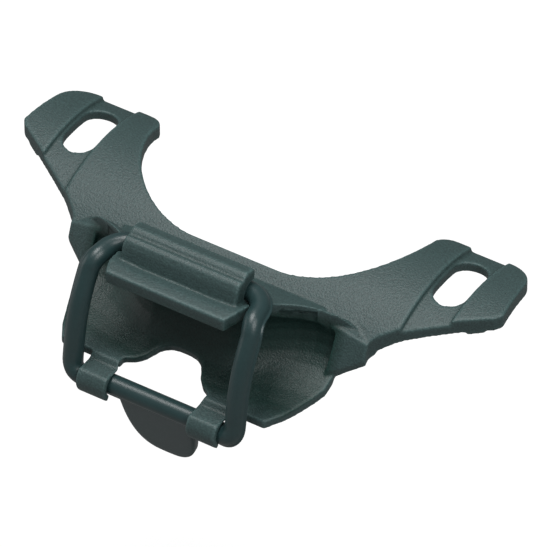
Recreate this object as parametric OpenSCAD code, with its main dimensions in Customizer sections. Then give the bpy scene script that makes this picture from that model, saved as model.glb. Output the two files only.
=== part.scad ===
// Holder that carries a mini pump beside the bottle cage of a bicycle.
// X runs along the frame tube, Y from front to back, Z away from the tube.
// The origin is midway between the two cage bolts, on top of the frame tube.

/* [Saddle] */
// Distance between the two bottle cage bolts
bolt_spacing = 64; // [58:0.5:70]
// Radius of the frame tube that the saddle sits on
tube_r = 21; // [18:0.5:26]
// Height of the low ribs that bear on the tube
rib_h = 0.4; // [0.2:0.1:0.8]
// Thickness of the saddle at its pads
pad_t = 2.4; // [2:0.1:3.2]
// Depth of the bolt channels below the pads
channel_d = 0.7; // [0.3:0.1:1]
// Width of a bolt channel along the tube
channel_w = 6.1; // [5.6:0.1:7]
// Width of a bolt slot, for an M5 bolt
slot_w = 5.3; // [5.2:0.1:5.5]
// Length of a bolt slot across the tube
slot_l = 10.4; // [8:0.2:11.4]
// Length of each outer pad beyond its channel
outer_pad = 6.3; // [4:0.1:9]
// Distance from the bolt line to the back edge
back_y = 8.8; // [7.8:0.1:11]
// Distance from the bolt line to the bottom of the back cove
cove_y = 10; // [9:0.1:11]
// Radius of the round sides of the back cove
cove_r = 17; // [14:0.5:17.5]

/* [Cradle] */
// Distance from the bolt line forward to the mouth of the cradle
mouth_y = 28.9; // [28.6:0.1:29.1]
// Height of the middle of the cradle's mouth
mouth_z = -2.6; // [-2.8:0.1:-2.5]
// Half of the height of the cradle's mouth
mouth_h = 6.8; // [6.6:0.1:6.9]
// Depth of the trough in the middle
trough_d = 7.4; // [6.4:0.1:8]
// Depth of the trough at its flared ends
flare_d = 14; // [13:0.1:14.2]
// Half of the length of the trough at its flared ends
flare_x = 21.4; // [21:0.1:21.8]
// Half of the length of the lower lip
lip_x = 17.4; // [16.6:0.1:18]
// Half of the length of the brow over the mouth
brow_x = 10.1; // [10:0.1:10.3]
// Wall of the cradle at its brow
wall = 2.2; // [2:0.1:2.3]
// Wall of the cradle at its floor
floor_wall = 1.5; // [1.3:0.1:1.7]
// How far the arch reaches back from the lower lip
arch_l = 5.9; // [4.8:0.1:6.1]

/* [Strap] */
// Diameter of the rubber bar that the ring is made of
bar_d = 3; // [2.4:0.1:3.2]
// Half of the width of the ring at its foot, to the middle of its bars
ring_x = 14.3; // [14.2:0.1:14.8]
// Half of the width of the ring at its top
ring_top_x = 13.5; // [12.8:0.1:14]
// Distance from the bolt line forward to the top bar
top_y = 20.9; // [20.4:0.1:21.4]
// Height of the top bar
top_z = 5.6; // [5.2:0.1:6.2]
// Distance from the bolt line forward to the bottom bar
bottom_y = 32.4; // [32.4:0.1:33]
// Height of the bottom bar
bottom_z = -11.5; // [-11.7:0.1:-11.4]
// How far forward the side bars reach before they turn down
knee_y = 26.6; // [26:0.1:27.4]
// Length of the pull tab below its bar
tab_l = 12.5; // [8:0.1:16]
// Thickness of the pull tab
tab_t = 1.7; // [1.2:0.1:2.4]

/* [Hooks] */
// Half of the length of the top hook
hook_x = 9.9; // [7:0.1:10]
// Thickness of the curled lower hooks
hook_t = 1; // [0.8:0.1:1.4]
// Distance from the middle to the middle of a lower hook
lower_x = 9.3; // [8.6:0.1:9.6]
// Width of a lower hook
lower_w = 5.2; // [4:0.1:5.6]
// Gap left round a bar in its hook
bar_gap = 0.2; // [0.1:0.05:0.3]

/* [Hidden] */
$fn = 24;

// Room for the cutting shapes to run past the faces that they cut
past = 10;
// Half of the length of the whole holder
end_x = bolt_spacing / 2 + channel_w / 2 + outer_pad;
// Inner and outer faces of a bolt channel
channel_in = bolt_spacing / 2 - channel_w / 2;
channel_out = bolt_spacing / 2 + channel_w / 2;
// Radius of the saddle's underside and of its pads, about the tube's middle
under_r = tube_r + rib_h;
pad_r = under_r + pad_t;
// Radius of the corners of the wings
inner_corner = 2.6;
outer_corner = 5;
// Middle of the round side of the cove
pad_in = 5;
cove_x = channel_in - pad_in - cove_r;

// The slots are set back a little, to pull the saddle onto the tube
slot_y = 0.5;

// Front edge of a wing, from its outer end inwards
front_end_y = -3.8;
front_step_y = -7.4;
front_in_y = -11;
neck_x = 24.6;
neck_y = -15.6;

// Steps along the trough and round its section
rows = 26;
cols = 14;
// The trough deepens between these distances from its middle
flare_from = 5;
flare_to = 19;
// Its floor is squarer than a half round by this power
floor_power = 0.86;
// The lower lip stands in front of the mouth's middle by this much, and the brow behind it
lip_reach = 0.6;
brow_back = 0.7;

// Middle of the bars of the ring
top = [-top_y, top_z];
bottom = [-bottom_y, bottom_z];
// Radius of the bends of the ring, to the middle of its bar
top_bend = 3.9;
knee_bend = 2.4;
// The ring widens by this much round its knee
knee_step = 0.7;
// The side bars bow forward by this much between their knee and their foot
side_bow = 0.9;
bow_steps = 6;
bottom_bend = 3;
// Turn of the flat stretch behind the knee, from level, and of the side bars
brow_turn = 4;
knee_z = top_z - (knee_y - top_y) * tan(brow_turn);
side_turn = atan2(knee_z - bottom_z, bottom_y - knee_y);
knee_half = knee_bend * tan((side_turn - brow_turn) / 2);
// Steps round each bend of the ring, sides of its bar and height of its parting edge
bend_steps = 6;
bar_sides = 14;
parting = 0.35;
// Turn of the pull tab, from level
tab_turn = 108;
// The tab fits between the lower hooks
tab_gap = 0.5;
tab_w = lower_x - lower_w / 2 - tab_gap;
arch_w = tab_w + tab_gap - 0.1;
// Turn round the bar at which a lower hook ends
hook_end = 233;

// Inner radius of the hooks
hold_r = bar_d / 2 + bar_gap;

function round_corner(c, r, from, to, n) =
    [for (i = [0:n]) c + r * [cos(from + (to - from) * i / n), sin(from + (to - from) * i / n)]];

// Plan of the right half of the saddle, from the middle of the cove round to the neck
half_plan = concat(
    [[0, -cove_y]],
    round_corner([cove_x, cove_r - cove_y], cove_r, -90, 0, 14),
    round_corner([cove_x + cove_r + inner_corner, back_y - inner_corner], inner_corner, 180, 90, 6),
    round_corner([end_x - 0.9 - outer_corner, back_y - outer_corner], outer_corner, 90, 5, 8),
    [[end_x, front_end_y + 0.7], [end_x - 0.7, front_end_y - 0.3]],
    [[channel_out, front_step_y], [channel_in, front_in_y]],
    [[neck_x + 1.6, neck_y + 2.4], [neck_x + 0.4, neck_y + 1], [neck_x, neck_y]],
    [[0, neck_y]]
);

module both_sides() {
    children();
    mirror([1, 0, 0]) children();
}

// A shape drawn in Y and Z, drawn out along X to both sides
module along_x(half) {
    rotate([90, 0, 90]) linear_extrude(2 * half, center = true) children();
}

// A round bar along X, about the middle of the frame tube
module about_tube(r, from, to) {
    translate([from, 0, -tube_r]) rotate([0, 90, 0]) cylinder(r = r, h = to - from, $fn = 180);
}

module saddle() {
    intersection() {
        difference() {
            about_tube(pad_r, -end_x - 1, end_x + 1);
            about_tube(under_r, -end_x - 2, end_x + 2);
        }
        translate([0, 0, -tube_r / 2]) linear_extrude(tube_r) both_sides() polygon(half_plan);
    }
}

// A bolt channel is sunk below the pads and follows the round of the tube
module channel() {
    difference() {
        about_tube(pad_r + 1, channel_in, channel_out);
        about_tube(pad_r - channel_d, channel_in - 1, channel_out + 1);
    }
}

module slot() {
    run = (slot_l - slot_w) / 2;
    translate([bolt_spacing / 2, slot_y, 0]) {
        for (y = [-run, run]) translate([0, y, 0]) cylinder(d = slot_w, h = 2 * past, center = true);
        cube([slot_w, 2 * run, 2 * past], center = true);
    }
}

// Depth of the trough, which deepens along half a cosine wave towards its flared ends
function depth_at(x) = let (t = min(1, max(0, (abs(x) - flare_from) / (flare_to - flare_from))))
    trough_d + (flare_d - trough_d) * (1 - cos(180 * t)) / 2;

// One closed section of the trough, from the bottom of its front round its back to the top
function section(x, up, down, front) = concat(
    [[x, -mouth_y - front, mouth_z - mouth_h - down]],
    [for (i = [0:cols]) let (
        a = -90 + 180 * i / cols,
        grow = down + (up - down) * (1 + sin(a)) / 2,
        k = a < 0 ? floor_power : 1,
        across = (depth_at(x) + grow) * pow(abs(cos(a)), k),
        high = (mouth_h + grow) * sign(a) * pow(abs(sin(a)), k))
            [x, -mouth_y + across, mouth_z + high]],
    [[x, -mouth_y - front, mouth_z + mouth_h + up]]
);

// The trough as a solid that is grown by a wall over it and a wall under it
module trough(up, down, front, half) {
    ring = cols + 3;
    points = [for (k = [0:rows]) each section(-half + 2 * half * k / rows, up, down, front)];
    sides = [for (k = [0:rows - 1], j = [0:ring - 1], part = [0, 1]) let (
        n = (j + 1) % ring,
        a = k * ring + j,
        b = (k + 1) * ring + j,
        c = k * ring + n,
        d = (k + 1) * ring + n)
            part == 0 ? [a, b, d] : [a, d, c]];
    ends = [[for (j = [0:ring - 1]) j], [for (j = [ring - 1:-1:0]) rows * ring + j]];
    polyhedron(points, concat(sides, ends), convexity = 6);
}

// Right half of the plan of the part of the cradle over the mouth, which is swept back at its ends
back_of_flare = -mouth_y + flare_d + wall;
half_brow = [
    [0, -mouth_y + brow_back], [brow_x, -mouth_y + brow_back], [brow_x + 0.8, -mouth_y + 2.4],
    [brow_x + 1.2, -mouth_y + 5.4], [brow_x + 2.4, -mouth_y + 8.4], [brow_x + 3.4, -mouth_y + 10.1],
    [brow_x + 5.4, -mouth_y + 11.5], [flare_x - 3.6, -mouth_y + 12.6], [flare_x - 2.3, -mouth_y + 13.6],
    [flare_x - 1, back_of_flare - 2], [neck_x - 0.3, back_of_flare], [0, back_of_flare]
];
// Right half of the plan of the floor of the cradle
half_floor = [
    [0, -mouth_y - lip_reach], [lip_x, -mouth_y - lip_reach], [lip_x + 1.6, -mouth_y + 2],
    [flare_x - 1, -mouth_y + 5.4], [flare_x + 0.4, -mouth_y + 9], [flare_x + 0.4, -mouth_y + 12],
    [flare_x - 0.4, back_of_flare - 2.4],
    [neck_x - 0.3, back_of_flare], [0, back_of_flare]
];

module cradle() {
    intersection() {
        trough(wall, floor_wall, lip_reach, neck_x + 1);
        both_sides() union() {
            translate([0, 0, mouth_z]) linear_extrude(mouth_h + wall + 1) polygon(half_brow);
            translate([0, 0, mouth_z - mouth_h - wall]) linear_extrude(mouth_h + wall) polygon(half_floor);
        }
    }
}

// Low ribs across the underside, which bear on the tube
module rib(from, to) {
    intersection() {
        difference() {
            about_tube(under_r + 0.5, from, to);
            about_tube(tube_r, from - 1, to + 1);
        }
        translate([0, 0, -tube_r / 2]) linear_extrude(tube_r) both_sides() polygon(half_plan);
    }
}

// The shoulder that carries the flared end of the cradle under the neck of the wing
module shoulder() {
    hull() {
        translate([neck_x + 0.8, 0, 0]) rotate([90, 0, 90]) linear_extrude(0.2)
            polygon([[-12.4, -1.8], [-14.5, -2], [-15.4, -4.4], [-15, -6], [-13, -6]]);
        translate([flare_x - 1.6, 0, 0]) rotate([90, 0, 90]) linear_extrude(0.2)
            polygon([[-13, -0.4], [-15, -0.4], [-18.6, -7.6], [-18, -9.4], [-14, -7.4]]);
    }
}

// The web that joins the saddle to the back of the cradle, and the wall under the top hook
module web() {
    along_x(flare_x - 4)
        polygon([[-12.2, -0.6], [-18.4, 1.5], [-18.4, -4.4], [-12.6, -4.6]]);
    along_x(hook_x)
        polygon([[-18, 1.6], [-23, 3.9], [-23, -3.6], [-20.5, -5.4], [-18, -4.6]]);
}

// The arch that leaves the pull tab free, as parts of its half width and its length
arch_curve = [[1.1, -2], [1.1, 0], [0.88, 0.14], [0.7, 0.36], [0.62, 0.56], [0.56, 0.72], [0.47, 0.86],
    [0.33, 0.95], [0.16, 0.99], [0, 1]];
arch_lean = 14;
module arch() {
    translate([0, -mouth_y - lip_reach, mouth_z - mouth_h / 2]) rotate([arch_lean, 0, 0])
        translate([0, 0, -mouth_h]) linear_extrude(mouth_h * 1.3) both_sides()
            polygon(concat([[0, -2 * arch_l]], [for (q = arch_curve) [q[0] * arch_w, q[1] * arch_l]]));
}

// The post of the top hook stands in front of the top bar and curls back over it
module top_hook() {
    along_x(hook_x) polygon([
        [-25.3, 4.6], [-25.2, 6], [-24.6, 7.9], [-24.1, 8.7], [-23.4, 9], [-22.9, 8.8], [-22.4, 9.3],
        [-21.7, 9.6], [-21.1, 9.4], [-20.6, 9.3], [-20, 9.2], [-19.7, 8.6], [-20, top_z + hold_r],
        [-20, top_z], [-22, 3]
    ]);
}

// The room that the top bar and the corners of the ring take up
module bar_room() {
    along_x(ring_x + bar_d) {
        translate(top) circle(hold_r, $fn = 48);
        translate([top[0], top[1] - hold_r]) square([past, 2 * hold_r]);
    }
    both_sides() translate([ring_top_x - top_bend, -top_y - top_bend, top_z - hold_r]) difference() {
        cylinder(r = top_bend + hold_r, h = past);
        cylinder(r = top_bend - hold_r, h = 3 * past, center = true);
        translate([-past - 0.3, -2 * past, -past]) cube([past + 0.9, 4 * past, 3 * past]);
        translate([-past, -2 * past, -past]) cube([3 * past, 2 * past, 3 * past]);
    }
}

// A lower hook carries on from the lip and curls down round the bottom bar
module lower_hook() {
    outer = hold_r + hook_t;
    root = bottom_y - mouth_y;
    tip = past * [cos(hook_end), sin(hook_end)];
    translate([lower_x, 0, 0]) along_x(lower_w / 2) translate(bottom) difference() {
        union() {
            intersection() {
                circle(outer, $fn = 48);
                polygon([[0, 0], [0, past], [-past, past], [-past, 0], tip]);
            }
            polygon([[0, 0], [0, outer], [root - 0.6, outer], [root + 1, outer - 0.9],
                [root + 1, hold_r - 0.6], [root - 0.4, hold_r - 0.6]]);
        }
        circle(hold_r, $fn = 48);
        translate([0, -hold_r]) square([2.6, 2 * hold_r]);
    }
}

module holder_body() {
    color("#2b3330") difference() {
        union() {
            difference() {
                union() {
                    saddle();
                    cradle();
                    web();
                    top_hook();
                    both_sides() lower_hook();
                }
                trough(0, 0, past, neck_x + 4);
            }
            difference() {
                both_sides() shoulder();
                trough(0, 0, past, flare_x - 0.8);
            }
        }
        about_tube(under_r, -flare_x - 6, flare_x + 6);
        bar_room();
        arch();
        both_sides() channel();
        both_sides() slot();
    }
    color("#2b3330") {
        both_sides() rib(end_x - 4.4, end_x - 2);
        both_sides() rib(neck_x + 0.2, neck_x + 1.6);
    }
}

// Direction down the ring where its face is turned from level, and the way that its face looks
function along(turn) = [-cos(turn), -sin(turn)];
function facing(turn) = [0, -sin(turn), cos(turn)];
function station(x, yz, turn) = [[x, yz[0], yz[1]], facing(turn)];

// Stations of the right half of the ring, from the middle of the top bar to that of the bottom bar
function half_ring() =
    let (knee = [-knee_y, knee_z], turn_in = knee - knee_half * along(brow_turn),
        middle = turn_in + knee_bend * [sin(brow_turn), -cos(brow_turn)])
    concat(
        [station(0, top, brow_turn)],
        [for (i = [0:bend_steps]) let (a = 90 * i / bend_steps)
            station(ring_top_x - top_bend * (1 - sin(a)),
                top + top_bend * (1 - cos(a)) * along(brow_turn), brow_turn)],
        [for (i = [0:bend_steps]) let (t = brow_turn + (side_turn - brow_turn) * i / bend_steps)
            station(ring_top_x + knee_step * i / bend_steps, middle + knee_bend * [-sin(t), cos(t)], t)],
        [for (i = [1:bow_steps - 1]) let (
            t = i / bow_steps,
            forward = [-sin(side_turn), cos(side_turn)],
            from = middle + knee_bend * forward,
            to = bottom - bottom_bend * along(side_turn))
                station(ring_top_x + knee_step + (ring_x - ring_top_x - knee_step) * t,
                    from + (to - from) * t + side_bow * sin(180 * t) * forward, side_turn)],
        [for (i = [0:bend_steps]) let (a = 90 * i / bend_steps)
            station(ring_x - bottom_bend * (1 - cos(a)),
                bottom - bottom_bend * (1 - sin(a)) * along(side_turn), side_turn)],
        [station(0, bottom, side_turn)]
    );

function flip(s) = [[-s[0][0], s[0][1], s[0][2]], s[1]];
function unit(v) = v / norm(v);

// The bar's outline: round, with a thin parting edge on the outer side of the ring
bar_outline = concat([[bar_d / 2 + parting, 0]],
    [for (i = [0:bar_sides]) let (a = 9 + (360 - 18) * i / bar_sides) bar_d / 2 * [cos(a), sin(a)]]);

module ring_bar() {
    right = half_ring();
    last = len(right) - 1;
    loop = concat(right, [for (i = [last - 1:-1:1]) flip(right[i])]);
    n = len(loop);
    m = len(bar_outline);
    points = [for (i = [0:n - 1]) let (
        t = unit(loop[(i + 1) % n][0] - loop[(i + n - 1) % n][0]), u = loop[i][1], w = unit(cross(u, t)))
            each [for (q = bar_outline) loop[i][0] + q[0] * w + q[1] * u]];
    faces = [for (i = [0:n - 1], j = [0:m - 1], part = [0, 1]) let (
        i2 = (i + 1) % n,
        j2 = (j + 1) % m,
        a = i * m + j,
        b = i * m + j2,
        c = i2 * m + j,
        d = i2 * m + j2)
            part == 0 ? [a, c, d] : [a, d, b]];
    polyhedron(points, faces, convexity = 6);
}

// The thumb tab hangs from the bottom bar between the lower hooks, and its outline is a squarish half round
module pull_tab() {
    translate([0, bottom[0], bottom[1]]) rotate([tab_turn, 0, 0]) translate([0, 0, -tab_t / 2])
        linear_extrude(tab_t) polygon([for (i = [0:24]) let (a = 180 * i / 24, c = cos(a))
            [tab_w * sign(c) * pow(abs(c), 2 / 3), -tab_l * pow(sin(a), 2 / 3)]]);
}

module strap_ring() {
    color("#1f2625") union() {
        ring_bar();
        pull_tab();
    }
}

holder_body();
strap_ring();
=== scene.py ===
"""Dresses the pump holder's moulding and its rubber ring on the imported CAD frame, and sets up a stage."""

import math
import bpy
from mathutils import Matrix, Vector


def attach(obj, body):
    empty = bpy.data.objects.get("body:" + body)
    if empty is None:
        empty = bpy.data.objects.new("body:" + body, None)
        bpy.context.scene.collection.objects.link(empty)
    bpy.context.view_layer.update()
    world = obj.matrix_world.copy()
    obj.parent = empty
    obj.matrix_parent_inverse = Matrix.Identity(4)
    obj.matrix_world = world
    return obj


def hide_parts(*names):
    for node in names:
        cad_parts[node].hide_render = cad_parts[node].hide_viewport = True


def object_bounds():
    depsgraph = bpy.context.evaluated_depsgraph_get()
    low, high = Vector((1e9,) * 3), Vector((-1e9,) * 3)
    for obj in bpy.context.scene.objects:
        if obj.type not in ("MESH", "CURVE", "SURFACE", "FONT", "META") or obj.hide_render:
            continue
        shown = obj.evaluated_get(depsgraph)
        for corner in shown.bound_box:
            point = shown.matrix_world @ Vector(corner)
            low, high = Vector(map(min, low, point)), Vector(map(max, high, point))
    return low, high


bl_info = {
    "name": "Bike pump holder",
    "version": (1, 0, 0),
    "blender": (4, 2, 0),
    "location": "3D View > Sidebar > Pump holder",
    "description": "Moulded pump holder with a rubber ring, its finishes and a pale stage",
    "category": "Object",
}

import bpy
import numpy as np
from bpy.props import FloatProperty, FloatVectorProperty, IntProperty, PointerProperty
from mathutils import Matrix, Vector

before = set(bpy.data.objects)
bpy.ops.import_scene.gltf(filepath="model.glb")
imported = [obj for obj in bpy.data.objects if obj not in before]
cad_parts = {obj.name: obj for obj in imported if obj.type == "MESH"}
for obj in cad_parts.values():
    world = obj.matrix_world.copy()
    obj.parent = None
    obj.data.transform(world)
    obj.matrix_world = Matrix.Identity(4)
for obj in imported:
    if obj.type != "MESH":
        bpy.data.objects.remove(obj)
CAD_BOX = [list(map(float, corner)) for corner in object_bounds()]

MM = 0.001

# Lengths are in millimetres and angles in degrees, unless a comment says otherwise.
# The small moulding dimple on each neck: its middle on the right, its radius and its depth
DIMPLE = (24.3, -14.5, 0.0)
DIMPLE_R, DIMPLE_DEPTH = 1.1, 0.45
# The trough: distance forward and height of its mouth's middle, half height, and depth at its middle and ends
MOUTH_Y, MOUTH_Z, MOUTH_H = 28.9, -2.6, 6.8
TROUGH_D, FLARE_D = 7.4, 14.0
# How far from the middle the trough starts to deepen and is deepest, and the squareness of its floor
FLARE_FROM, FLARE_TO = 5.0, 19.0
FLOOR_POWER = 0.86
# Where the trough's inner face ends: past its floor and at its mouth, in shares of its depth, and at its ends
INNER_REACH, INNER_FADE = 1.1, 0.06
MOUTH_REACH, MOUTH_FADE = 0.02, 0.2
END_X, END_FADE = 22.4, 1.5
# The arch in the cradle's floor: its reach back, its half width, how far its soft edge comes forward, and
# how wide a band about the edge moves
ARCH_BACK, ARCH_HALF, ARCH_LIP, ARCH_SPREAD = 5.9, 3.1, 0.7, 2.5
# Where the arch's reach starts in front of the mouth, the share of it lost at the sides, and the side fade
ARCH_START, ARCH_ROUND, ARCH_FADE = 0.6, 0.14, 1.4
# Only points this far below the mouth's middle, and no further in front of it than this, move with the arch
ARCH_BELOW, ARCH_FRONT = 2.0, 0.4
# The brow over the mouth: where its droop starts, over what run, and how far its edge comes forward and down
BROW_FROM, BROW_RUN, BROW_FORWARD, BROW_DROOP = 24.6, 4.0, 0.6, 0.6
# The brow's lowest height and half width, and the height and run where the droop fades out at its top
BROW_LOW, BROW_HALF, BROW_TOP, BROW_FADE = 1.5, 11.0, 8.2, 0.8
# Front edge of the wall over the trough's flared ends, as X and Y on the right, and the heights trimmed to it
CREST_X, CREST_Y = (13.3, 15.5, 18.0), (-18.6, -17.1, -16.0)
CREST_LOW, CREST_HIGH = -0.2, 1.9
# The lower hooks: their middle, and how much wider and further out their softened ends are
HOOK_X, HOOK_WIDEN, HOOK_OUT = 9.3, 1.08, -0.15
# Where the hooks start in front of the mouth, the run over which their move grows, and their highest point
HOOK_START, HOOK_RUN, HOOK_TOP = 0.5, 2.2, -8.0
# Decimals at which the CAD's corners are welded, and the fewest faces of a sound skin
WELD_DECIMALS, FEWEST_FACES = 4, 1000
# Pull and push of a smoothing pass, and the number of first passes that only pull
SMOOTH_PULL, SMOOTH_PUSH, ROUNDING = 0.6, 0.61, 8
# Averaging passes over the curvature, and the percentile of its size that counts as 1
CURVE_PASSES, CURVE_TOP = 2, 98
# The most triangles that the skin keeps
MOST_TRIANGLES = 190000
# The soft lower hooks and the bar in them sit further back and lower than the rigid solids, in Y and Z
LOWER_SHIFT = np.array([0.8, -0.8])
# The ring's top and bottom bars, in Y and Z, and how far forward its knee lies
TOP_BAR = np.array([-20.9, 5.6])
BOTTOM_BAR = np.array([-32.4, -11.5])
KNEE_Y = 26.6
# The ring's half width at its top and at its foot, and how much it widens round the knee
RING_TOP_X, RING_X, KNEE_STEP = 13.15, 13.9, 0.7
# Radii of the ring's bends: at its top corners, at the knee and at its foot
TOP_BEND, KNEE_BEND, BOTTOM_BEND = 3.9, 2.4, 2.4
# The rubber sags by this much at the ring's lower corners, and its side bars stand forward by this much
CORNER_SAG, CORNER_FORWARD = 0.4, 0.1
# Where the corners start past the hooks' middle, over what run, and where the shift starts below the top bar
CORNER_START, CORNER_RUN, SHIFT_START = 0.8, 4.0, 4.0
# How far a side bar bows forward at its middle, and the fall of the ring's upper part towards the knee
SIDE_BOW, BROW_TURN = 0.9, 4.0
# Stations along half the top bar, a bend, the knee, a side bar and half the bottom bar
TOP_STATIONS, BEND_STATIONS, KNEE_STATIONS, SIDE_STATIONS, FOOT_STATIONS = 12, 15, 12, 26, 14
# Passes that ease the ring's path
PATH_PASSES = 3
# Angles of the points across the parting edge, the number of points round the rest, and the edge's spread
PARTING_ANGLES = (-16, -10, -6, -3, 0, 3, 6, 10, 16)
ROUND_POINTS, PARTING_SPREAD = 38, 5.5
# The pull tab: its lean, half width, length, thickness, and the middle of its faces below the bar
TAB_TURN = 108.0
TAB_W, TAB_L, TAB_T, TAB_MIDDLE = 6.2, 12.9, 1.7, 6.0
# The tab's edge radius, the power of its squarish outline, and the bulge of its top as a share of its length
TAB_ROUNDING, TAB_POWER, TAB_TOP = 0.55, 2 / 3, 0.05
# The tab's points a row, the rows of its rounded edge, and the rows of its faces as shares of the way in
TAB_POINTS, TAB_EDGE_ROWS = 72, 6
TAB_INSETS = (0.9, 0.7, 0.5, 0.3, 0.12)
# Painted shade: how far the trough's inside and the corners take the darker shade colour, and its shares of
# the plastic's colour
PAINTED_SHADE_INNER, PAINTED_SHADE_CORNER = 0.9, 0.3
PAINTED_SHADE_TINT = (0.12, 0.4, 0.33)
# Detail of the grain, scale and detail of the cloudiness, and the stretch of the grain that the speckle shows
GRAIN_DETAIL, CLOUD_SCALE, CLOUD_DETAIL = 2.0, 90.0, 4.0
SPECKLE_FROM, SPECKLE_TO = 0.25, 0.75
# How many times lighter the painted highlight on an edge is
PAINTED_HIGHLIGHT_LIFT = 1.9
# The floor's half width and its drop below the CAD, in metres, its grey, and its glow to the camera
FLOOR_HALF, FLOOR_DROP = 2.0, 0.05
FLOOR_GREY, FLOOR_GLOW = 0.3, 0.8
# The world's strength as light, and to the camera
WORLD_LIGHT, WORLD_SEEN = 0.16, 1.0
# The camera's aim: a point of the frame, then this far right and up in the picture
AIM_FROM, AIM_RIGHT, AIM_UP = (0.0, 23.4, 1.7), -12.27, -22.5
SENSOR_WIDTH = 36.0
# The lamps, in metres: what they face, how far off they are, and for each its name, its way off as right, up
# and towards the camera, its size, and its power in watts
LAMP_TARGET, LAMP_FAR = (0.0, -0.013, -0.006), 0.9
LAMPS = (("key", (-0.2, 0.78, 0.58), 0.45, 5.2), ("front", (0.35, 0.25, 0.9), 0.5, 3.4),
         ("side", (-0.95, 0.3, -0.1), 0.5, 0.8))


class PumpHolderBody(bpy.types.PropertyGroup):
    colour: FloatVectorProperty(
        name="Plastic colour", description="Base colour of the moulded plastic", subtype="COLOR",
        size=3, min=0.0, max=1.0, default=(0.038, 0.072, 0.071))
    voxel: FloatProperty(
        name="Skin detail", default=0.16, min=0.15, max=0.6,
        description="Size of the mesh cells that the moulded skin is made of, in millimetres")
    softness: IntProperty(
        name="Edge softness", description="Passes that round the moulded edges", default=14, min=1, max=30)
    roughness: FloatProperty(
        name="Roughness", description="Roughness of the grained plastic", subtype="FACTOR",
        default=0.5, min=0.1, max=1.0)


class PumpHolderRing(bpy.types.PropertyGroup):
    colour: FloatVectorProperty(
        name="Rubber colour", description="Base colour of the rubber ring", subtype="COLOR",
        size=3, min=0.0, max=1.0, default=(0.021, 0.050, 0.052))
    bar: FloatProperty(
        name="Bar diameter", description="Diameter of the ring's bar", subtype="DISTANCE", unit="LENGTH",
        default=0.003, min=0.0024, max=0.0032, precision=4)
    parting: FloatProperty(
        name="Parting edge", description="Height of the parting edge round the ring", subtype="DISTANCE",
        unit="LENGTH", default=0.00035, min=0.0, max=0.0005, precision=5)
    roughness: FloatProperty(
        name="Roughness", description="Roughness of the rubber", subtype="FACTOR",
        default=0.36, min=0.1, max=1.0)


class PumpHolderStage(bpy.types.PropertyGroup):
    azimuth: FloatProperty(
        name="Azimuth", description="Turn of the camera round the holder, in degrees from the front",
        default=32.43, min=-180.0, max=180.0)
    elevation: FloatProperty(
        name="Elevation", description="Height of the camera above level, in degrees",
        default=40.97, min=-10.0, max=89.0)
    distance: FloatProperty(
        name="Distance", description="Distance of the camera", subtype="DISTANCE", unit="LENGTH",
        default=1.13528, min=0.3, max=5.0)
    lens: FloatProperty(
        name="Lens", description="Focal length of the camera, in millimetres",
        default=505.6, min=50.0, max=900.0)
    light: FloatProperty(
        name="Light", description="Strength of the studio light", default=1.0, min=0.1, max=4.0)


def settings():
    """The scene's settings for the body, the ring and the stage."""
    scene = bpy.context.scene
    return scene.pump_holder_body, scene.pump_holder_ring, scene.pump_holder_stage


def ramp(distance, run):
    """Rises evenly from 0 to 1: the distance over the run, held between 0 and 1."""
    return np.clip(distance / run, 0, 1)


def eased(share):
    """A share with soft ends: three times its square, less twice its cube."""
    return share * share * (3 - 2 * share)


def linked(name, data):
    """A new object of the scene with this mesh, lamp or camera."""
    obj = bpy.data.objects.new(name, data)
    bpy.context.scene.collection.objects.link(obj)
    return obj


def applied(obj):
    """A new mesh of the object as its modifiers leave it."""
    graph = bpy.context.evaluated_depsgraph_get()
    return bpy.data.meshes.new_from_object(obj.evaluated_get(graph))


def read_mesh(mesh):
    """Points and faces of a mesh whose faces all have the same number of corners."""
    points = np.empty(len(mesh.vertices) * 3)
    mesh.vertices.foreach_get("co", points)
    corners = np.empty(len(mesh.loops), dtype=np.int64)
    mesh.loops.foreach_get("vertex_index", corners)
    return points.reshape(-1, 3), corners.reshape(len(mesh.polygons), -1)


def new_object(name, points, faces):
    """An object at the origin, from points in millimetres and an array of faces."""
    mesh = bpy.data.meshes.new(name)
    mesh.from_pydata((points * MM).tolist(), [], faces.tolist())
    if mesh.validate():
        raise RuntimeError(f"{name}: its faces aren't sound")
    mesh.polygons.foreach_set("use_smooth", np.ones(len(mesh.polygons), dtype=bool))
    return linked(name, mesh)


def add_attribute(obj, name, values):
    """Stores one number a point, for the materials to read."""
    attribute = obj.data.attributes.new(name, "FLOAT", "POINT")
    attribute.data.foreach_set("value", np.asarray(values, dtype=np.float32))


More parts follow.
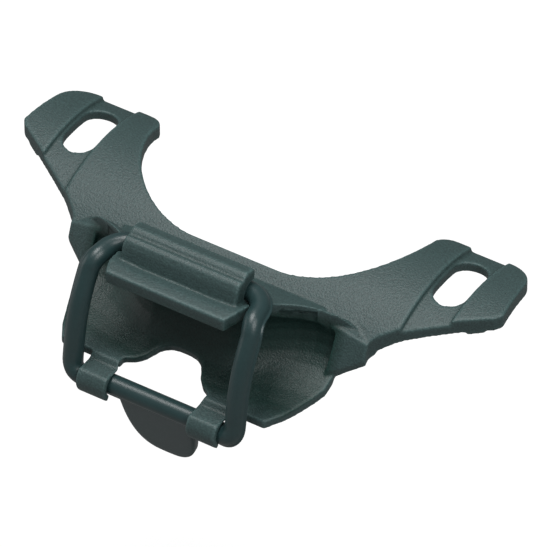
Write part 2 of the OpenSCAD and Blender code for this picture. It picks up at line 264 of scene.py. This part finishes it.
def moulded_skin(node, voxel):
    """The CAD node's surface in even cells, as points in millimetres and quads.

    The CAD mesh is welded and cut into cubes of the voxel's size, and each point of the cubes' skin is then
    moved to the nearest point of the CAD surface.
    """
    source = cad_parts[node].data
    source.calc_loop_triangles()
    points = np.empty(len(source.vertices) * 3)
    source.vertices.foreach_get("co", points)
    points = points.reshape(-1, 3) / MM
    corners = np.empty(len(source.loop_triangles) * 3, dtype=np.int32)
    source.loop_triangles.foreach_get("vertices", corners)
    welded, index = np.unique(np.round(points, WELD_DECIMALS), axis=0, return_inverse=True)
    faces = index.reshape(-1)[corners].reshape(-1, 3)
    a, b, c = faces.T
    faces = faces[(a != b) & (b != c) & (c != a)]
    mesh = bpy.data.meshes.new("skin_source")
    mesh.from_pydata(welded.tolist(), [], faces.tolist())
    holder = linked("skin_source", mesh)
    cells = holder.modifiers.new("cells", "REMESH")
    cells.mode = "VOXEL"
    cells.voxel_size = voxel
    even = applied(holder)
    holder.modifiers.remove(cells)
    skin = linked("skin_even", even)
    wrap = skin.modifiers.new("onto_surface", "SHRINKWRAP")
    wrap.target = holder
    wrapped = applied(skin)
    points, quads = read_mesh(wrapped)
    for item in (holder, skin):
        bpy.data.objects.remove(item)
    for item in (mesh, even, wrapped):
        bpy.data.meshes.remove(item)
    if len(quads) < FEWEST_FACES:
        raise RuntimeError(f"{node}: the skin came out with {len(quads)} faces")
    return points, quads


class Neighbours:
    """Averages values over the points that share an edge."""

    def __init__(self, faces, count):
        n = faces.shape[1]
        pairs = np.concatenate([faces[:, [k, (k + 1) % n]] for k in range(n)])
        self.a, self.b, self.count = pairs[:, 0], pairs[:, 1], count
        self.share = np.bincount(self.a, minlength=count) + np.bincount(self.b, minlength=count)

    def mean(self, values):
        """The sum of the neighbours' values over their number, for each point and each column."""
        if values.ndim > 1:
            return np.stack([self.mean(values[:, k]) for k in range(values.shape[1])], axis=1)
        total = (np.bincount(self.a, values[self.b], self.count)
                 + np.bincount(self.b, values[self.a], self.count))
        return total / self.share


def point_normals(points, faces):
    """The sum of the cross products of each face's diagonals, at each of its points, made one unit long."""
    diagonal = points[faces[:, 2]] - points[faces[:, 0]]
    other = points[faces[:, 3 % faces.shape[1]]] - points[faces[:, 1]]
    normal = np.cross(diagonal, other)
    total = np.zeros_like(points)
    for k in range(faces.shape[1]):
        for axis in range(3):
            total[:, axis] += np.bincount(faces[:, k], normal[:, axis], len(points))
    return total / np.maximum(np.linalg.norm(total, axis=1, keepdims=True), 1e-12)


def soften(points, neighbours, passes):
    """Rounds the edges.

    The first passes move each point a share of the way to its neighbours' mean. Each later pass does the same
    and then moves it back by about as much, which rounds edges further without shrinking the form.
    """
    for _ in range(ROUNDING):
        points = points + SMOOTH_PULL * (neighbours.mean(points) - points)
    for _ in range(passes):
        points = points + SMOOTH_PULL * (neighbours.mean(points) - points)
        points = points - SMOOTH_PUSH * (neighbours.mean(points) - points)
    return points


def curvature(points, faces, neighbours):
    """How far each point stands out of its surroundings: positive on edges and negative in corners.

    It is the distance along the normal from the neighbours' mean to the point, averaged and then scaled.
    """
    normals = point_normals(points, faces)
    out = -np.sum((neighbours.mean(points) - points) * normals, axis=1)
    for _ in range(CURVE_PASSES):
        out = neighbours.mean(out)
    return out / np.percentile(np.abs(out), CURVE_TOP)


def thin(obj, most):
    """Collapses the flat stretches of the mesh until it has no more than the given number of triangles."""
    have = 2 * len(obj.data.polygons)
    if have <= most:
        return
    collapse = obj.modifiers.new("collapse", "DECIMATE")
    collapse.ratio = most / have
    fine, obj.data = obj.data, applied(obj)
    obj.modifiers.remove(collapse)
    bpy.data.meshes.remove(fine)
    for name in ("edge", "painted_shade"):
        if name not in obj.data.attributes:
            raise RuntimeError(f"{obj.name}: {name} was lost")


def trough_depth(x):
    """Depth of the trough along X: it goes from the middle's to the ends' along half a cosine wave."""
    t = ramp(np.abs(x) - FLARE_FROM, FLARE_TO - FLARE_FROM)
    return TROUGH_D + (FLARE_D - TROUGH_D) * (1 - np.cos(np.pi * t)) / 2


def floor_height(across, depth):
    """Height of the trough's inner floor at a distance back from the mouth, along a squarish half round.

    The share of the depth and the share of the half height, each to the power of 2 over FLOOR_POWER, add up
    to 1.
    """
    share = ramp(across, depth) ** (2 / FLOOR_POWER)
    return MOUTH_Z - MOUTH_H * (1 - share) ** (FLOOR_POWER / 2)


def shape_arch(points):
    """Brings the arch's rim forward along the floor.

    The rim is a parabola across X. The move falls off evenly, with eased ends, over a band on each side of it
    and past the arch's sides, and a moved point keeps its height over the floor.
    """
    x, y, z = points.T
    rim = -MOUTH_Y - ARCH_START + ARCH_BACK * (1 - ARCH_ROUND * (x / ARCH_HALF) ** 2)
    weight = np.clip(1 - np.abs(y - rim) / ARCH_SPREAD, 0, 1)
    weight = weight * ramp(ARCH_HALF + ARCH_FADE - np.abs(x), ARCH_FADE)
    weight = eased(weight * (z < MOUTH_Z - ARCH_BELOW) * (y > -MOUTH_Y - ARCH_FRONT))
    depth = trough_depth(x)
    across = y + MOUTH_Y
    moved = across - ARCH_LIP * weight
    fall = floor_height(moved, depth) - floor_height(across, depth)
    return np.stack([x, moved - MOUTH_Y, z + fall * (weight > 0)], axis=1)


def shape_brow(points):
    """Draws the brow's edge forward and down, and trims the wall beside it to its crest.

    The move grows with the square of the way along the brow. The crest is a line of straight pieces, and a
    point in front of it is put onto it.
    """
    x, y, z = points.T
    run = ramp(-BROW_FROM - y, BROW_RUN) ** 2 * (z > BROW_LOW) * (np.abs(x) < BROW_HALF)
    run = run * ramp(BROW_TOP - z, BROW_FADE)
    crest = np.interp(np.abs(x), CREST_X, CREST_Y)
    beside = (np.abs(x) > CREST_X[0]) & (np.abs(x) < CREST_X[-1])
    stray = beside & (z > CREST_LOW) & (z < CREST_HIGH) & (y < crest)
    return np.stack([x, np.where(stray, crest, y - BROW_FORWARD * run), z - BROW_DROOP * run], axis=1)


def shape_hooks(points):
    """Scales the lower hooks about their middles and shifts them, with an eased start at the lip."""
    x, y, z = points.T
    weight = eased(ramp(-MOUTH_Y - HOOK_START - y, HOOK_RUN) * (z < HOOK_TOP))
    wide = np.sign(x) * (HOOK_X + HOOK_OUT + (np.abs(x) - HOOK_X) * HOOK_WIDEN)
    back, up = LOWER_SHIFT
    return np.stack([x + (wide - x) * weight, y + back * weight, z + up * weight], axis=1)


def inside_trough(points):
    """1 on the inner face of the trough, falling evenly to 0 behind its floor, at its mouth and at its ends.

    The distance from the mouth's middle is counted in depths and half heights, so it is about 1 at the floor.
    """
    x, y, z = points.T
    across = (y + MOUTH_Y) / trough_depth(x)
    high = (z - MOUTH_Z) / MOUTH_H
    near = np.sqrt(across ** 2 + high ** 2)
    inner = ramp(INNER_REACH - near, INNER_FADE) * ramp(across + MOUTH_REACH, MOUTH_FADE)
    return inner * ramp(END_X - np.abs(x), END_FADE)


def ring_stations():
    """Points round the whole ring, each with the way that the ring's plane faces there.

    The top and bottom bars are straight and meet the sides in quarter circles. The knee is a circle's arc,
    and each side bar bows forward along half a sine wave. The left half mirrors the right.
    """
    def along(turn):
        return np.array([-math.cos(turn), -math.sin(turn)])

    def facing(turn):
        return (0.0, -math.sin(turn), math.cos(turn))

    brow = math.radians(BROW_TURN)
    knee_z = TOP_BAR[1] - (KNEE_Y + TOP_BAR[0]) * math.tan(brow)
    knee = np.array([-KNEE_Y, knee_z])
    side = math.atan2(knee_z - BOTTOM_BAR[1], -BOTTOM_BAR[0] - KNEE_Y)
    half = KNEE_BEND * math.tan((side - brow) / 2)
    turn_in = knee - half * along(brow)
    middle = turn_in + KNEE_BEND * np.array([math.sin(brow), -math.cos(brow)])
    forward = np.array([-math.sin(side), math.cos(side)])
    quarter = np.radians(np.linspace(0, 90, BEND_STATIONS))
    stations = []

    def add(x, yz, turn):
        stations.append(((x, yz[0], yz[1]), facing(turn)))

    for x in np.linspace(0, RING_TOP_X - TOP_BEND, TOP_STATIONS)[:-1]:
        add(x, TOP_BAR, brow)
    for a in quarter:
        corner = TOP_BAR + TOP_BEND * (1 - math.cos(a)) * along(brow)
        add(RING_TOP_X - TOP_BEND * (1 - math.sin(a)), corner, brow)
    for i, t in enumerate(np.linspace(brow, side, KNEE_STATIONS + 1)):
        outward = np.array([-math.sin(t), math.cos(t)])
        add(RING_TOP_X + KNEE_STEP * i / KNEE_STATIONS, middle + KNEE_BEND * outward, t)
    start, end = middle + KNEE_BEND * forward, BOTTOM_BAR - BOTTOM_BEND * along(side)
    for t in np.linspace(0, 1, SIDE_STATIONS)[1:-1]:
        x = RING_TOP_X + KNEE_STEP + (RING_X - RING_TOP_X - KNEE_STEP) * t
        add(x, start + (end - start) * t + SIDE_BOW * math.sin(math.pi * t) * forward, side)
    for a in quarter:
        foot = BOTTOM_BAR - BOTTOM_BEND * (1 - math.sin(a)) * along(side)
        add(RING_X - BOTTOM_BEND * (1 - math.cos(a)), foot, side)
    for x in np.linspace(RING_X - BOTTOM_BEND, 0, FOOT_STATIONS)[1:]:
        add(x, BOTTOM_BAR, side)
    left = [((-p[0], p[1], p[2]), u) for p, u in stations[-2:0:-1]]
    return stations + left


def ring_bar(radius, parting):
    """The ring's bar: a circle swept along the stations, with a thin parting edge on the ring's outer side.

    The lower part of the path is shifted, with eased starts. The path is then averaged, each station counting
    a half and its neighbours a quarter each. The parting edge is a bell curve of the angle round the bar.
    """
    stations = ring_stations()
    centre = np.array([s[0] for s in stations])
    up = np.array([s[1] for s in stations])
    fade_z = TOP_BAR[1] - SHIFT_START
    low = eased(ramp(fade_z - centre[:, 2], fade_z - BOTTOM_BAR[1]))
    outer = eased(ramp(np.abs(centre[:, 0]) - HOOK_X - CORNER_START, CORNER_RUN))
    centre[:, 1] += low * (LOWER_SHIFT[0] * (1 - outer) - CORNER_FORWARD * outer)
    centre[:, 2] += low * (LOWER_SHIFT[1] - CORNER_SAG * outer)
    for _ in range(PATH_PASSES):
        centre = centre * 0.5 + 0.25 * (np.roll(centre, 1, 0) + np.roll(centre, -1, 0))
        up = up * 0.5 + 0.25 * (np.roll(up, 1, 0) + np.roll(up, -1, 0))
    tangent = np.roll(centre, -1, 0) - np.roll(centre, 1, 0)
    out = np.cross(up, tangent)
    out /= np.linalg.norm(out, axis=1, keepdims=True)
    up = np.cross(tangent, out)
    up /= np.linalg.norm(up, axis=1, keepdims=True)
    last = PARTING_ANGLES[-1]
    angle = np.radians(np.concatenate([PARTING_ANGLES, np.linspace(last, 360 - last, ROUND_POINTS)[1:-1]]))
    turn = np.minimum(np.abs(np.degrees(angle)), 360 - np.abs(np.degrees(angle)))
    reach = radius + parting * np.exp(-(turn / PARTING_SPREAD) ** 2)
    ring = len(angle)
    points = (centre[:, None, :] + (reach * np.cos(angle))[None, :, None] * out[:, None, :]
              + (reach * np.sin(angle))[None, :, None] * up[:, None, :]).reshape(-1, 3)
    count = len(centre)
    i, j = np.meshgrid(np.arange(count), np.arange(ring), indexing="ij")
    i2, j2 = (i + 1) % count, (j + 1) % ring
    faces = np.stack([i * ring + j, i * ring + j2, i2 * ring + j2, i2 * ring + j], axis=-1).reshape(-1, 4)
    return points, faces


def pull_tab():
    """The thumb tab on the bottom bar: rows of one outline, from one face over the edge to the other.

    The outline is a superellipse of exponent 3 with its upper half almost flat. Each row is that outline
    shrunk by its inset, the rows at the edge follow a quarter circle at each face, and the first and last row
    have all their points at the middle of a face.
    """
    a = np.arange(TAB_POINTS) * 2 * np.pi / TAB_POINTS
    across = np.sign(np.cos(a)) * np.abs(np.cos(a)) ** TAB_POWER
    down = np.abs(np.sin(a)) ** TAB_POWER * np.where(a <= np.pi, 1.0, -TAB_TOP)
    layers = []
    for inset in TAB_INSETS:
        layers.append((TAB_ROUNDING + (TAB_W - TAB_ROUNDING) * inset, TAB_T / 2))
    for turn in np.radians(np.linspace(90, 0, TAB_EDGE_ROWS)):
        layers.append((TAB_ROUNDING * (1 - math.cos(turn)), TAB_T / 2 - TAB_ROUNDING * (1 - math.sin(turn))))
    layers = layers + [(inset, -high) for inset, high in layers[::-1][1:]]
    rows = []
    for inset, high in layers:
        shrink = 1 - inset / TAB_W
        rows.append(np.stack([TAB_W * shrink * across, TAB_L * shrink * down + TAB_MIDDLE * (1 - shrink),
                              np.full(TAB_POINTS, high)], axis=1))
    front = [(0.0, TAB_MIDDLE, TAB_T / 2)] * TAB_POINTS
    back = [(0.0, TAB_MIDDLE, -TAB_T / 2)] * TAB_POINTS
    grid = np.array([front] + rows + [back])
    turn = math.radians(TAB_TURN)
    x, s, h = grid[..., 0], grid[..., 1], grid[..., 2]
    foot = BOTTOM_BAR + LOWER_SHIFT
    points = np.stack([x, foot[0] - s * math.cos(turn) - h * math.sin(turn),
                       foot[1] - s * math.sin(turn) + h * math.cos(turn)], axis=-1).reshape(-1, 3)
    row, here = np.meshgrid(np.arange(len(grid) - 1), np.arange(TAB_POINTS), indexing="ij")
    beyond = (here + 1) % TAB_POINTS
    this, after = row * TAB_POINTS, (row + 1) * TAB_POINTS
    faces = np.stack([this + here, after + here, after + beyond, this + beyond], axis=-1).reshape(-1, 4)
    return points, faces


def pull_tab():
    """The thumb tab, a squarish half round with rounded edges that hangs from the bottom bar."""
    steps, rounding = 72, 0.55
    a = np.arange(steps) * 2 * np.pi / steps
    across = np.sign(np.cos(a)) * np.abs(np.cos(a)) ** (2 / 3)
    down = np.abs(np.sin(a)) ** (2 / 3) * np.where(a <= np.pi, 1.0, -0.05)
    layers = []
    for inset in (0.9, 0.7, 0.5, 0.3, 0.12):
        layers.append((rounding + (TAB_W - rounding) * inset, TAB_T / 2))
    for turn in np.radians(np.linspace(90, 0, 6)):
        layers.append((rounding * (1 - math.cos(turn)), TAB_T / 2 - rounding * (1 - math.sin(turn))))
    layers = layers + [(inset, -high) for inset, high in layers[::-1][1:]]
    rows = []
    for inset, high in layers:
        shrink = 1 - inset / TAB_W
        rows.append(np.stack([TAB_W * shrink * across, TAB_L * shrink * down + TAB_MIDDLE * (1 - shrink),
                              np.full(steps, high)], axis=1))
    rows = [[(0.0, TAB_MIDDLE, TAB_T / 2)] * steps] + rows + [[(0.0, TAB_MIDDLE, -TAB_T / 2)] * steps]
    grid = np.array(rows)
    turn = math.radians(TAB_TURN)
    x, s, h = grid[..., 0], grid[..., 1], grid[..., 2]
    foot = BOTTOM_BAR + LOWER_SHIFT
    points = np.stack([x, foot[0] - s * math.cos(turn) - h * math.sin(turn),
                       foot[1] - s * math.sin(turn) + h * math.cos(turn)], axis=-1).reshape(-1, 3)
    here, across_next = np.arange(steps), np.roll(np.arange(steps), -1)
    faces = np.concatenate([np.stack([r * steps + here, (r + 1) * steps + here, (r + 1) * steps + across_next,
                                      r * steps + across_next], axis=1) for r in range(len(rows) - 1)])
    return points, faces


def grain_group():
    """Fine moulded grain, faint cloudiness, painted shade and painted edge highlights, as a colour, a
    roughness and a normal.

    The colour lies between the plastic's and the painted shade colour, times 1 plus the cloud and the speckle.
    It goes towards a lighter one, a painted highlight, by the edge value times the cloud noise and the
    highlight amount. The roughness is multiplied by 1
    plus the cloud, and the grain's noise is the height of the normal's bump.
    """
    name = "moulded_grain"
    if name in bpy.data.node_groups:
        return bpy.data.node_groups[name]
    group = bpy.data.node_groups.new(name, "ShaderNodeTree")
    sockets = (("Color", "NodeSocketColor", None), ("Painted Shade Color", "NodeSocketColor", None),
               ("Edge Highlight", "NodeSocketFloat", 0.3), ("Cloud", "NodeSocketFloat", 0.12),
               ("Speckle", "NodeSocketFloat", 0.3),
               ("Grain Scale", "NodeSocketFloat", 2600.0), ("Grain Depth", "NodeSocketFloat", 0.00002),
               ("Roughness", "NodeSocketFloat", 0.5))
    for label, kind, value in sockets:
        socket = group.interface.new_socket(label, in_out="INPUT", socket_type=kind)
        if value is not None:
            socket.default_value = value
    results = (("Color", "NodeSocketColor"), ("Roughness", "NodeSocketFloat"), ("Normal", "NodeSocketVector"))
    for label, kind in results:
        group.interface.new_socket(label, in_out="OUTPUT", socket_type=kind)
    nodes, links = group.nodes, group.links

    def node(kind, place, **values):
        made = nodes.new(kind)
        made.location = place
        for key, value in values.items():
            setattr(made, key, value)
        return made

    start, end = node("NodeGroupInput", (-1200, 0)), node("NodeGroupOutput", (900, 0))
    place = node("ShaderNodeTexCoord", (-1200, -300))
    fine = node("ShaderNodeTexNoise", (-900, -300))
    fine.inputs["Detail"].default_value = GRAIN_DETAIL
    links.new(place.outputs["Object"], fine.inputs["Vector"])
    links.new(start.outputs["Grain Scale"], fine.inputs["Scale"])
    bump = node("ShaderNodeBump", (500, -300))
    bump.inputs["Strength"].default_value = 1.0
    links.new(start.outputs["Grain Depth"], bump.inputs["Distance"])
    links.new(fine.outputs["Fac"], bump.inputs["Height"])
    cloud = node("ShaderNodeTexNoise", (-900, -600))
    cloud.inputs["Scale"].default_value = CLOUD_SCALE
    cloud.inputs["Detail"].default_value = CLOUD_DETAIL
    links.new(place.outputs["Object"], cloud.inputs["Vector"])
    span = node("ShaderNodeMapRange", (-650, -600))
    span.inputs["To Min"].default_value = -0.5
    span.inputs["To Max"].default_value = 0.5
    links.new(cloud.outputs["Fac"], span.inputs["Value"])
    amount = node("ShaderNodeMath", (-400, -600), operation="MULTIPLY_ADD")
    amount.inputs[2].default_value = 1.0
    links.new(span.outputs["Result"], amount.inputs[0])
    links.new(start.outputs["Cloud"], amount.inputs[1])
    dots = node("ShaderNodeMapRange", (-650, -900))
    dots.inputs["From Min"].default_value = SPECKLE_FROM
    dots.inputs["From Max"].default_value = SPECKLE_TO
    dots.inputs["To Min"].default_value = -0.5
    dots.inputs["To Max"].default_value = 0.5
    links.new(fine.outputs["Fac"], dots.inputs["Value"])
    both = node("ShaderNodeMath", (-250, -700), operation="MULTIPLY_ADD")
    links.new(dots.outputs["Result"], both.inputs[0])
    links.new(start.outputs["Speckle"], both.inputs[1])
    links.new(amount.outputs["Value"], both.inputs[2])
    # Painted shade: the colour goes towards the darker, greener shade colour by this attribute, which is high
    # in the trough and in concave corners.
    painted_shade = node("ShaderNodeAttribute", (-900, 300), attribute_name="painted_shade")
    tint = node("ShaderNodeMix", (-400, 200), data_type="RGBA")
    links.new(painted_shade.outputs["Fac"], tint.inputs["Factor"])
    links.new(start.outputs["Color"], tint.inputs["A"])
    links.new(start.outputs["Painted Shade Color"], tint.inputs["B"])
    shade = node("ShaderNodeVectorMath", (-150, 100), operation="SCALE")
    links.new(tint.outputs["Result"], shade.inputs[0])
    links.new(both.outputs["Value"], shade.inputs["Scale"])
    # Painted highlight: convex edges go lighter, in patches of the cloud noise, by this attribute times the
    # highlight amount.
    edge = node("ShaderNodeAttribute", (-900, 500), attribute_name="edge")
    patchy = node("ShaderNodeMath", (-400, 450), operation="MULTIPLY")
    links.new(edge.outputs["Fac"], patchy.inputs[0])
    links.new(cloud.outputs["Fac"], patchy.inputs[1])
    highlight_share = node("ShaderNodeMath", (-150, 450), operation="MULTIPLY", use_clamp=True)
    links.new(patchy.outputs["Value"], highlight_share.inputs[0])
    links.new(start.outputs["Edge Highlight"], highlight_share.inputs[1])
    light = node("ShaderNodeVectorMath", (100, 250), operation="SCALE")
    light.inputs["Scale"].default_value = PAINTED_HIGHLIGHT_LIFT
    links.new(shade.outputs["Vector"], light.inputs[0])
    colour = node("ShaderNodeMix", (400, 200), data_type="RGBA")
    links.new(highlight_share.outputs["Value"], colour.inputs["Factor"])
    links.new(shade.outputs["Vector"], colour.inputs["A"])
    links.new(light.outputs["Vector"], colour.inputs["B"])
    rough = node("ShaderNodeMath", (400, -50), operation="MULTIPLY", use_clamp=True)
    links.new(start.outputs["Roughness"], rough.inputs[0])
    links.new(amount.outputs["Value"], rough.inputs[1])
    links.new(colour.outputs["Result"], end.inputs["Color"])
    links.new(rough.outputs["Value"], end.inputs["Roughness"])
    links.new(bump.outputs["Normal"], end.inputs["Normal"])
    return group


def grained(name, colour, painted_shade, roughness, grain_scale, grain_depth, painted_highlight, cloud, speckle, specular):
    """A material with the moulded grain group, which also paints shade and an edge highlight, on a plain
    shader.
    """
    material = bpy.data.materials.new(name)
    material.use_nodes = True
    nodes, links = material.node_tree.nodes, material.node_tree.links
    shader = next(n for n in nodes if n.type == "BSDF_PRINCIPLED")
    shader.inputs["Specular IOR Level"].default_value = specular
    group = nodes.new("ShaderNodeGroup")
    group.node_tree = grain_group()
    group.location = (-400, 0)
    group.inputs["Color"].default_value = (*colour, 1.0)
    group.inputs["Painted Shade Color"].default_value = (*painted_shade, 1.0)
    for label, value in (("Roughness", roughness), ("Grain Scale", grain_scale), ("Grain Depth", grain_depth),
                         ("Edge Highlight", painted_highlight), ("Cloud", cloud), ("Speckle", speckle)):
        group.inputs[label].default_value = value
    links.new(group.outputs["Color"], shader.inputs["Base Color"])
    links.new(group.outputs["Roughness"], shader.inputs["Roughness"])
    links.new(group.outputs["Normal"], shader.inputs["Normal"])
    return material


class PUMPHOLDER_OT_body(bpy.types.Operator):
    """Make the moulded holder with its soft edges and grain"""
    bl_idname = "pumpholder.body"
    bl_label = "Moulded holder"

    def execute(self, context):
        body, _, _ = settings()
        points, quads = moulded_skin("holder_body", body.voxel)
        near = Neighbours(quads, len(points))
        points = shape_hooks(shape_arch(shape_brow(soften(points, near, body.softness))))
        for side in (-1, 1):
            centre = np.array([side * DIMPLE[0], DIMPLE[1], DIMPLE[2]])
            away = np.linalg.norm(points - centre, axis=1)
            points[:, 2] -= DIMPLE_DEPTH * np.exp(-(away / DIMPLE_R) ** 2)
        shape = curvature(points, quads, near)
        obj = new_object("moulded_holder", points, quads)
        # Convex edges: where the highlight is painted.
        add_attribute(obj, "edge", np.clip(shape, 0, 1))
        # Painted shade: full on the trough's inside and partly in concave corners.
        painted_shade = inside_trough(points) * PAINTED_SHADE_INNER + np.clip(-shape, 0, 1) * PAINTED_SHADE_CORNER
        add_attribute(obj, "painted_shade", np.clip(painted_shade, 0, 1))
        thin(obj, MOST_TRIANGLES)
        # The painted shade colour, darker and greener than the plastic.
        painted_shade_colour = [c * share for c, share in zip(body.colour, PAINTED_SHADE_TINT)]
        # The edges get a painted highlight at the strength given below.
        obj.data.materials.append(grained(
            "grained_plastic", body.colour, painted_shade_colour, body.roughness, grain_scale=3600.0, grain_depth=0.00008,
            painted_highlight=0.9, cloud=0.16, speckle=0.6, specular=0.6))
        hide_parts("holder_body")
        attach(obj, "holder")
        return {"FINISHED"}


class PUMPHOLDER_OT_ring(bpy.types.Operator):
    """Make the rubber ring with its parting edge and pull tab"""
    bl_idname = "pumpholder.ring"
    bl_label = "Rubber ring"

    def execute(self, context):
        _, ring, _ = settings()
        bar, bar_faces = ring_bar(ring.bar / MM / 2, ring.parting / MM)
        tab, tab_faces = pull_tab()
        points = np.concatenate([bar, tab])
        faces = np.concatenate([bar_faces, tab_faces + len(bar)])
        obj = new_object("rubber_ring", points, faces)
        # The ring gets no painted shade and no painted highlight.
        none = np.zeros(len(points))
        add_attribute(obj, "edge", none)
        add_attribute(obj, "painted_shade", none)
        obj.data.materials.append(grained(
            "soft_rubber", ring.colour, ring.colour, ring.roughness, grain_scale=1800.0, grain_depth=0.000012,
            painted_highlight=0.0, cloud=0.2, speckle=0.12, specular=0.6))
        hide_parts("strap_ring")
        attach(obj, "strap")
        return {"FINISHED"}


def aimed(obj, place, target):
    """Puts the object at the place and points its own minus Z at the target, with its Y upwards."""
    obj.location = place
    obj.rotation_euler = (Vector(target) - Vector(place)).to_track_quat("-Z", "Y").to_euler()


def pale_material():
    """A matt grey floor that also glows for the camera alone, so that it shows white."""
    material = bpy.data.materials.new("pale_floor")
    material.use_nodes = True
    nodes, links = material.node_tree.nodes, material.node_tree.links
    nodes.clear()
    out = nodes.new("ShaderNodeOutputMaterial")
    matt = nodes.new("ShaderNodeBsdfDiffuse")
    matt.inputs["Color"].default_value = (FLOOR_GREY, FLOOR_GREY, FLOOR_GREY, 1.0)
    glow = nodes.new("ShaderNodeEmission")
    seen = nodes.new("ShaderNodeLightPath")
    level = nodes.new("ShaderNodeMath")
    level.operation = "MULTIPLY"
    level.inputs[1].default_value = FLOOR_GLOW
    both = nodes.new("ShaderNodeAddShader")
    links.new(seen.outputs["Is Camera Ray"], level.inputs[0])
    links.new(level.outputs["Value"], glow.inputs["Strength"])
    links.new(matt.outputs["BSDF"], both.inputs[0])
    links.new(glow.outputs["Emission"], both.inputs[1])
    links.new(both.outputs["Shader"], out.inputs["Surface"])
    return material


class PUMPHOLDER_OT_stage(bpy.types.Operator):
    """Make the pale floor, the soft lights and the camera"""
    bl_idname = "pumpholder.stage"
    bl_label = "Stage"

    def execute(self, context):
        _, _, stage = settings()
        scene = context.scene
        low = Vector(CAD_BOX[0])
        half = FLOOR_HALF
        corners = np.array([[-half, -half, 0], [half, -half, 0], [half, half, 0], [-half, half, 0]])
        corners[:, 2] = low.z - FLOOR_DROP
        floor = new_object("floor", corners / MM, np.array([[0, 1, 2, 3]]))
        floor.data.materials.append(pale_material())

        world = bpy.data.worlds.new("pale_studio")
        scene.world = world
        world.use_nodes = True
        nodes, links = world.node_tree.nodes, world.node_tree.links
        background = next(n for n in nodes if n.type == "BACKGROUND")
        background.inputs["Color"].default_value = (1.0, 1.0, 1.0, 1.0)
        seen = nodes.new("ShaderNodeLightPath")
        level = nodes.new("ShaderNodeMapRange")
        level.inputs["To Min"].default_value = WORLD_LIGHT * stage.light
        level.inputs["To Max"].default_value = WORLD_SEEN
        links.new(seen.outputs["Is Camera Ray"], level.inputs["Value"])
        links.new(level.outputs["Result"], background.inputs["Strength"])

        turn, high = math.radians(stage.azimuth), math.radians(stage.elevation)
        right = Vector((math.cos(turn), math.sin(turn), 0.0))
        back = Vector((math.sin(turn) * math.cos(high), -math.cos(turn) * math.cos(high), math.sin(high)))
        up = back.cross(right)
        aim = right * (AIM_RIGHT * MM) + up * (AIM_UP * MM) + Vector([part * MM for part in AIM_FROM])
        target = Vector(LAMP_TARGET)
        for name, (x, y, z), size, power in LAMPS:
            data = bpy.data.lights.new(name, "AREA")
            data.size = size
            data.energy = power * stage.light
            way = (right * x + up * y + back * z).normalized()
            aimed(linked(name, data), target + way * LAMP_FAR, target)

        data = bpy.data.cameras.new("camera")
        data.sensor_width = SENSOR_WIDTH
        data.lens = stage.lens
        camera = linked("camera", data)
        turn_to = Matrix((right, up, back)).transposed().to_4x4()
        camera.matrix_world = Matrix.Translation(aim + back * stage.distance) @ turn_to
        scene.camera = camera
        scene.view_settings.view_transform = "Standard"
        return {"FINISHED"}


class PUMPHOLDER_PT_panel(bpy.types.Panel):
    """Lists the holder's pieces and their settings"""
    bl_idname = "PUMPHOLDER_PT_panel"
    bl_label = "Pump holder"
    bl_space_type = "VIEW_3D"
    bl_region_type = "UI"
    bl_category = "Pump holder"

    def draw(self, context):
        body, ring, stage = settings()
        groups = (("pumpholder.body", body, ("colour", "voxel", "softness", "roughness")),
                  ("pumpholder.ring", ring, ("colour", "bar", "parting", "roughness")),
                  ("pumpholder.stage", stage, ("azimuth", "elevation", "distance", "lens", "light")))
        for operator, group, names in groups:
            box = self.layout.box()
            for name in names:
                box.prop(group, name)
            box.operator(operator)


CLASSES = (PumpHolderBody, PumpHolderRing, PumpHolderStage, PUMPHOLDER_OT_body, PUMPHOLDER_OT_ring,
           PUMPHOLDER_OT_stage, PUMPHOLDER_PT_panel)


def register():
    for item in CLASSES:
        bpy.utils.register_class(item)
    bpy.types.Scene.pump_holder_body = PointerProperty(type=PumpHolderBody)
    bpy.types.Scene.pump_holder_ring = PointerProperty(type=PumpHolderRing)
    bpy.types.Scene.pump_holder_stage = PointerProperty(type=PumpHolderStage)


def unregister():
    for name in ("pump_holder_stage", "pump_holder_ring", "pump_holder_body"):
        delattr(bpy.types.Scene, name)
    for item in reversed(CLASSES):
        bpy.utils.unregister_class(item)


def main():
    register()
    bpy.ops.pumpholder.body()
    bpy.ops.pumpholder.ring()
    bpy.ops.pumpholder.stage()


if __name__ == "__main__":
    main()
